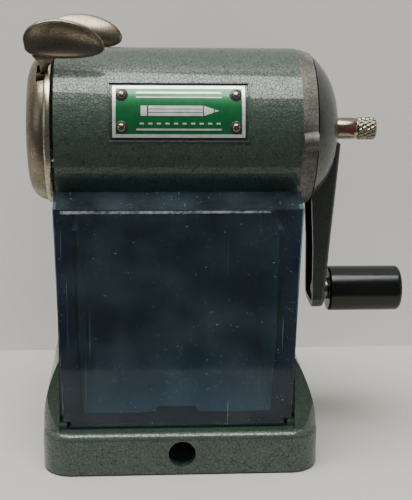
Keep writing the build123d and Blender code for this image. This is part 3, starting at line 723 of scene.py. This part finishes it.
def rivet_parts(profile, name):
    """The same turned shape at each of the plate's four rivets."""
    shapes = []
    for side in (-1, 1):
        for step in (-1, 1):
            angle = plate_middle + step * rivet_angle
            shape = bmesh.new()
            line = [shape.verts.new((r * mm, 0, h * mm)) for h, r in profile]
            edges = [shape.edges.new(pair) for pair in zip(line, line[1:])]
            bmesh.ops.spin(
                shape,
                geom=line + edges,
                cent=(0, 0, 0),
                axis=(0, 0, 1),
                angle=math.tau,
                steps=28,
                use_merge=True,
            )
            bmesh.ops.remove_doubles(shape, verts=shape.verts, dist=0.001 * mm)
            bmesh.ops.recalc_face_normals(shape, faces=shape.faces)
            tilt = Matrix.Rotation(math.pi / 2 - angle, 3, "X")
            bmesh.ops.rotate(shape, verts=shape.verts, cent=(0, 0, 0), matrix=tilt)
            foot = plate_r + plate_t * mm
            out = (case_mid + side * rivet_x, -foot * math.cos(angle), axis_z + foot * math.sin(angle))
            bmesh.ops.translate(shape, verts=shape.verts, vec=out)
            shapes.append(shape)
    made = joined(shapes, name)
    made.data.shade_smooth()
    return made


head_profile = [(0.0, 1.25), (0.3, 1.22), (0.58, 0.95), (0.72, 0.5), (0.76, 0)]
rivet_heads = rivet_parts(head_profile, "plate_rivet_heads")
dress(rivet_heads, bright, "frame", "bright_nickel", "plate_rivets")
# painted shadow: a dark ring under each rivet head
rivet_seats = rivet_parts([(0.0, 1.95), (0.05, 1.9), (0.05, 0)], "plate_rivet_painted_shadows")
dress(rivet_seats, seat_painted_shade, "frame", "badge")


# ---- Handle ----
# A polished phenolic moulding, nearly black with a green cast, that turns on its riveted axle.
def polished_phenolic(name, code):
    """Dark phenolic resin, polished by the hand and a little cloudy."""
    made, tree, place = new_material(name)
    cloud = add_node(tree, "ShaderNodeTexNoise", {"Scale": 1 / (3 * mm), "Detail": 4.0}, {"Vector": place})
    spread = add_node(
        tree, "ShaderNodeMapRange", {"To Min": 0.7, "To Max": 1.4}, {"Value": cloud.outputs["Fac"]}
    )
    tint = add_node(
        tree,
        "ShaderNodeVectorMath",
        {0: linear(code)[:3]},
        {"Scale": spread.outputs["Result"]},
        operation="SCALE",
    )
    rub = add_node(
        tree, "ShaderNodeMapRange", {"To Min": 0.12, "To Max": 0.3}, {"Value": cloud.outputs["Fac"]}
    )
    plastic = add_node(
        tree,
        "ShaderNodeBsdfPrincipled",
        {"IOR": 1.42},
        {"Base Color": tint.outputs["Vector"], "Roughness": rub.outputs["Result"]},
    )
    close_material(tree, plastic.outputs["BSDF"])
    return made


phenolic = polished_phenolic("green_black_phenolic", "#0a110e")
grip = smooth_copy("handle_grip", "handle_grip_moulding")
dress(grip, phenolic, "handle", "black_green", "handle_grip")


# ---- Drawer ----
# Moulded in transparent blue polystyrene, gone smoky with age: dusted with graphite, scuffed in front
# and chipped along its edges. Where its front lies against the cheeks and the foot it looks almost
# black, a shade painted by a dark sheet inside it; over the bin it is a clearer smoke blue, with light
# painted into the bin's pale haze. It slides out towards the user.
def polystyrene_and_painted_light(name, clear_code, haze_code, haze, dustiness, gloss):
    """Coloured clear plastic with a little haze in it, dust and scratches on it and a gloss outside; heavy
    pale haze paints light and all dark haze paints shade.
    """
    made, tree, place = new_material(name)
    dust = add_node(tree, "ShaderNodeTexNoise", {"Scale": 1 / (12 * mm), "Detail": 9.0}, {"Vector": place})
    speck = add_node(tree, "ShaderNodeTexNoise", {"Scale": 1 / (0.6 * mm), "Detail": 1.0}, {"Vector": place})
    drawn = add_node(
        tree,
        "ShaderNodeMapping",
        {"Rotation": (0, 0.6, 0), "Scale": (1 / (0.45 * mm), 1 / (5 * mm), 1 / (45 * mm))},
        {"Vector": place},
    )
    scratch = add_node(
        tree, "ShaderNodeTexNoise", {"Scale": 1.0, "Detail": 1.0}, {"Vector": drawn.outputs["Vector"]}
    )
    film = add_node(
        tree,
        "ShaderNodeMapRange",
        {"From Min": 0.4, "From Max": 0.8, "To Min": haze, "To Max": haze + dustiness},
        {"Value": dust.outputs["Fac"]},
    )
    dots = add_node(
        tree,
        "ShaderNodeMapRange",
        {"From Min": 0.72, "From Max": 0.78, "To Min": 0.0, "To Max": 0.5},
        {"Value": speck.outputs["Fac"]},
    )
    lines = add_node(
        tree,
        "ShaderNodeMapRange",
        {"From Min": 0.74, "From Max": 0.78, "To Min": 0.0, "To Max": 0.35},
        {"Value": scratch.outputs["Fac"]},
    )
    worn = add_node(
        tree, "ShaderNodeMath", links={0: dots.outputs["Result"], 1: lines.outputs["Result"]}, operation="ADD"
    )
    marks = add_node(
        tree, "ShaderNodeMath", links={0: film.outputs["Result"], 1: worn.outputs["Value"]}, operation="ADD"
    )
    rub = add_node(
        tree, "ShaderNodeMapRange", {"To Min": 0.05, "To Max": 0.3}, {"Value": marks.outputs["Value"]}
    )
    clear = add_node(tree, "ShaderNodeBsdfTransparent", {"Color": linear(clear_code)})
    cloudy = add_node(tree, "ShaderNodeBsdfDiffuse", {"Color": linear(haze_code)})
    inside = add_node(
        tree,
        "ShaderNodeMixShader",
        links={0: marks.outputs["Value"], 1: clear.outputs["BSDF"], 2: cloudy.outputs["BSDF"]},
    )
    shine = add_node(tree, "ShaderNodeBsdfGlossy", links={"Roughness": rub.outputs["Result"]})
    facing = add_node(tree, "ShaderNodeFresnel", {"IOR": 1.59})
    back = add_node(tree, "ShaderNodeNewGeometry")
    outer = add_node(
        tree,
        "ShaderNodeMapRange",
        {"To Min": gloss, "To Max": 0.0},
        {"Value": back.outputs["Backfacing"]},
    )
    amount = add_node(
        tree,
        "ShaderNodeMath",
        links={0: facing.outputs["Fac"], 1: outer.outputs["Result"]},
        operation="MULTIPLY",
    )
    skin = add_node(
        tree,
        "ShaderNodeMixShader",
        links={0: amount.outputs["Value"], 1: inside.outputs["Shader"], 2: shine.outputs["BSDF"]},
    )
    close_material(tree, skin.outputs["Shader"])
    return made


drawer_low, drawer_high = [Vector(corner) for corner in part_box("shavings_drawer")]
drawer_mid = (drawer_low.x + drawer_high.x) / 2
front_y = drawer_low.y
front_t = 2.8 * mm
fold_z = 84.0 * mm


def drawer_half(name, keep_front):
    """The drawer's front or its bin, cut from the moulding just behind the front plate."""
    shape = bmesh.new()
    shape.from_mesh(nodes["shavings_drawer"].data)
    bmesh.ops.remove_doubles(shape, verts=shape.verts, dist=weld)
    everything = shape.verts[:] + shape.edges[:] + shape.faces[:]
    cut_y = front_y + front_t + 0.02 * mm
    bmesh.ops.bisect_plane(shape, geom=everything, plane_co=(0, cut_y, 0), plane_no=(0, 1, 0))
    centres = [(face, face.calc_center_median()) for face in shape.faces]
    doomed = [face for face, at in centres if (at.y > cut_y and at.z < fold_z - 2 * mm) == keep_front]
    bmesh.ops.delete(shape, geom=doomed, context="FACES")
    bmesh.ops.dissolve_limit(shape, angle_limit=math.radians(1), verts=shape.verts, edges=shape.edges)
    return finish_mesh(shape, name)


front_plastic = polystyrene_and_painted_light("drawer_front_polystyrene", "#a9bfca", "#93a7b0", 0.035, 0.08, 0.5)
# the bin's heavy pale haze is partly the plastic's own cloudiness and partly painted light inside the drawer
bin_plastic_painted_light = polystyrene_and_painted_light("drawer_bin_polystyrene_painted_light", "#94acb6", "#9db3bb", 0.7, 0.15, 0.15)
# painted shade: an all-haze dark navy sheet stands in for the shade on the cheeks and foot behind the front
rim_painted_shade = polystyrene_and_painted_light("drawer_rim_painted_shade", "#080c14", "#12263c", 1.0, 0.0, 0.0)
drawer_front = drawer_half("drawer_front", True)
softened = drawer_front.modifiers.new("edge", "BEVEL")
softened.width = 0.5 * mm
softened.segments = 3
softened.limit_method = "ANGLE"
softened.angle_limit = math.radians(20)
drawer_front.data.shade_smooth()
drawer_front.data.set_sharp_from_angle(angle=math.radians(20))
dress(drawer_front, front_plastic, "drawer", "smoke_blue", "shavings_drawer")
drawer_bin = drawer_half("drawer_bin", False)
dress(drawer_bin, bin_plastic_painted_light, "drawer", "smoke_blue")

# The rim's painted shade: a dark sheet inside the front where it is seen against the shaded cheeks and
# foot, with the step of the finger rib at the bottom.
rib_half, rib_step, rib_shift = 7.0, 5.8, 0.3
rim_low, window_low, rib_top = 15.1, 18.4, 20.4
outline = [(-37.2, 84.2), (-35.7, 17.0), (-33.2, rim_low)]
outline += [(-rib_half - rib_shift, rim_low), (rib_half - rib_shift, rim_low)]
outline += [(33.2, rim_low), (35.7, 17.0), (37.2, 84.2)]
window = [(-32.3, fold_z / mm), (-30.4, window_low + 1), (-29.4, window_low)]
window += [(-rib_half - rib_shift, window_low), (-rib_step - rib_shift, rib_top)]
window += [(rib_step - rib_shift, rib_top), (rib_half - rib_shift, window_low)]
window += [(29.4, window_low), (30.4, window_low + 1), (32.3, fold_z / mm)]
shade_shape = bmesh.new()
shade_y = front_y + front_t - 0.35 * mm
rim_loop = [(drawer_mid + x * mm, shade_y, z * mm) for x, z in outline + window[::-1]]
shade_shape.faces.new([shade_shape.verts.new(corner) for corner in rim_loop])
bmesh.ops.triangulate(shade_shape, faces=shade_shape.faces)
bmesh.ops.solidify(shade_shape, geom=shade_shape.faces[:], thickness=0.1 * mm)
bmesh.ops.recalc_face_normals(shade_shape, faces=shade_shape.faces)
rim_shade = finish_mesh(shade_shape, "drawer_rim_painted_shade")
dress(rim_shade, rim_painted_shade, "drawer", "smoke_blue")


# Years of sliding have chipped the two side edges of the front nearly white. The pale line along the fold is
# a painted highlight: the light's reflection on the rounded fold.
def chips_and_painted_highlight(name, code, kept):
    """Pale marks with clear plastic between them, real chips on the sides and a painted highlight on the
    fold: kept is how much stays clear.
    """
    made, tree, place = new_material(name)
    long = add_node(
        tree,
        "ShaderNodeTexNoise",
        {"Scale": 1 / (5 * mm), "Detail": 9.0, "Roughness": 0.7},
        {"Vector": place},
    )
    chips = add_node(
        tree,
        "ShaderNodeMapRange",
        {"From Min": kept, "From Max": kept + 0.25, "To Min": 0.0, "To Max": 0.7},
        {"Value": long.outputs["Fac"]},
    )
    scuff = add_node(
        tree,
        "ShaderNodeBsdfPrincipled",
        {"Base Color": linear(code), "Roughness": 0.4},
        {"Alpha": chips.outputs["Result"]},
    )
    close_material(tree, scuff.outputs["BSDF"])
    return made


def edge_strip(corners, name, finish):
    """A thin strip lying on the front of the drawer."""
    strip = bmesh.new()
    strip.faces.new([strip.verts.new((x * mm, front_y - 0.03 * mm, z * mm)) for x, z in corners])
    raised = bmesh.ops.extrude_face_region(strip, geom=strip.faces[:])
    backs = [g for g in raised["geom"] if isinstance(g, bmesh.types.BMVert)]
    bmesh.ops.translate(strip, verts=backs, vec=(0, 0.06 * mm, 0))
    bmesh.ops.recalc_face_normals(strip, faces=strip.faces)
    dress(finish_mesh(strip, name), finish, "drawer", "smoke_blue")


# painted highlight along the fold; the pale chips on the side edges are real wear
fold_highlight = chips_and_painted_highlight("painted_fold_highlight", "#c9d2d6", 0.36)
side_wear = chips_and_painted_highlight("chipped_edge", "#9aa9b3", 0.5)
edge_strip([(-49.5, 83.3), (13.0, 83.5), (13.0, 84.2), (-49.5, 84.2)], "drawer_fold_painted_highlight", fold_highlight)
edge_strip([(-51.5, 82), (-50.1, 17.5), (-49.85, 17.5), (-51.2, 82)], "drawer_left_chips", side_wear)
edge_strip([(22.6, 82), (21.2, 17.5), (20.95, 17.5), (22.3, 82)], "drawer_right_chips", side_wear)


# ---- Works inside and underneath ----
# The pieces that only show from below, from the back or with the drawer out keep their CAD shapes:
# turned and ground steel, bronze bushes, spring wire and moulded rubber feet.
def machined_steel(name, code, rough, grain, rust):
    """Steel with fine turning marks round the crank axis and a trace of oil and rust."""
    made, tree, place = new_material(name)
    marks = add_node(
        tree,
        "ShaderNodeMapping",
        {"Scale": (1 / grain, 1 / (8 * mm), 1 / (8 * mm))},
        {"Vector": place},
    )
    turning = add_node(
        tree, "ShaderNodeTexNoise", {"Scale": 1.0, "Detail": 3.0}, {"Vector": marks.outputs["Vector"]}
    )
    film = add_node(tree, "ShaderNodeTexNoise", {"Scale": 1 / (2 * mm), "Detail": 6.0}, {"Vector": place})
    spots = add_node(
        tree,
        "ShaderNodeMapRange",
        {"From Min": 0.55, "From Max": 0.75, "To Min": 0.0, "To Max": rust},
        {"Value": film.outputs["Fac"]},
    )
    tint = add_node(
        tree,
        "ShaderNodeMix",
        {6: linear(code), 7: linear("#4a3526")},
        {0: spots.outputs["Result"]},
        data_type="RGBA",
    )
    haze = add_node(
        tree,
        "ShaderNodeMapRange",
        {"To Min": rough - 0.06, "To Max": rough + 0.1},
        {"Value": film.outputs["Fac"]},
    )
    bump = add_node(
        tree, "ShaderNodeBump", {"Strength": 0.25, "Distance": 0.01 * mm}, {"Height": turning.outputs["Fac"]}
    )
    metal = add_node(
        tree,
        "ShaderNodeBsdfPrincipled",
        {"Metallic": 1.0},
        {
            "Base Color": tint.outputs[2],
            "Roughness": haze.outputs["Result"],
            "Normal": bump.outputs["Normal"],
        },
    )
    close_material(tree, metal.outputs["BSDF"])
    return made


def moulded_rubber(name, code):
    """Matt rubber with a grey bloom."""
    made, tree, place = new_material(name)
    bloom = add_node(tree, "ShaderNodeTexNoise", {"Scale": 1 / (1.5 * mm), "Detail": 6.0}, {"Vector": place})
    grey = add_node(
        tree,
        "ShaderNodeMix",
        {6: linear(code), 7: linear("#4b4a47")},
        {0: bloom.outputs["Fac"]},
        data_type="RGBA",
    )
    bump = add_node(
        tree, "ShaderNodeBump", {"Strength": 0.2, "Distance": 0.05 * mm}, {"Height": bloom.outputs["Fac"]}
    )
    rubber = add_node(
        tree,
        "ShaderNodeBsdfPrincipled",
        {"Roughness": 0.8},
        {"Base Color": grey.outputs[2], "Normal": bump.outputs["Normal"]},
    )
    close_material(tree, rubber.outputs["BSDF"])
    return made


ground_steel = machined_steel("ground_steel", "#9a9894", 0.3, 0.1 * mm, 0.3)
tool_steel = machined_steel("tool_steel", "#77757a", 0.35, 0.2 * mm, 0.15)
spring_wire = machined_steel("spring_wire", "#8c8a86", 0.3, 0.3 * mm, 0.4)
oiled_bronze = machined_steel("oiled_bronze", "#9c7440", 0.35, 0.1 * mm, 0.2)
black_rubber = moulded_rubber("black_rubber", "#1b1b1a")
for node, finish in {
    "rubber_feet": black_rubber,
    "front_bush": oiled_bronze,
    "rear_bush": oiled_bronze,
    "cutter_carrier": bare_zinc,
    "cutter_axle": ground_steel,
    "milling_cutter": tool_steel,
    "cutter_pinion": tool_steel,
    "thrust_washer": oiled_bronze,
    "lock_nut": ground_steel,
    "stop_rod": ground_steel,
    "clamp_plate": tarnished,
    "pivot_pins": ground_steel,
    "guide_rods": ground_steel,
    "rod_collars": oiled_bronze,
}.items():
    nodes[node].data.materials.clear()
    nodes[node].data.materials.append(finish)

# In the sharpener the springs close up as the face is pulled and as the ears are squeezed, the feed springs
# keeping their ends on the collars and the bulkhead and the clamp spring staying between the two levers. Here
# each is given its own mesh.
feed_coils = smooth_copy("feed_springs", "feed_spring_coils")
dress(feed_coils, spring_wire, "face", "steel", "feed_springs")
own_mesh(feed_coils)
clamp_coils = smooth_copy("clamp_spring", "clamp_spring_coils")
dress(clamp_coils, spring_wire, "face", "steel", "clamp_spring")
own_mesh(clamp_coils)
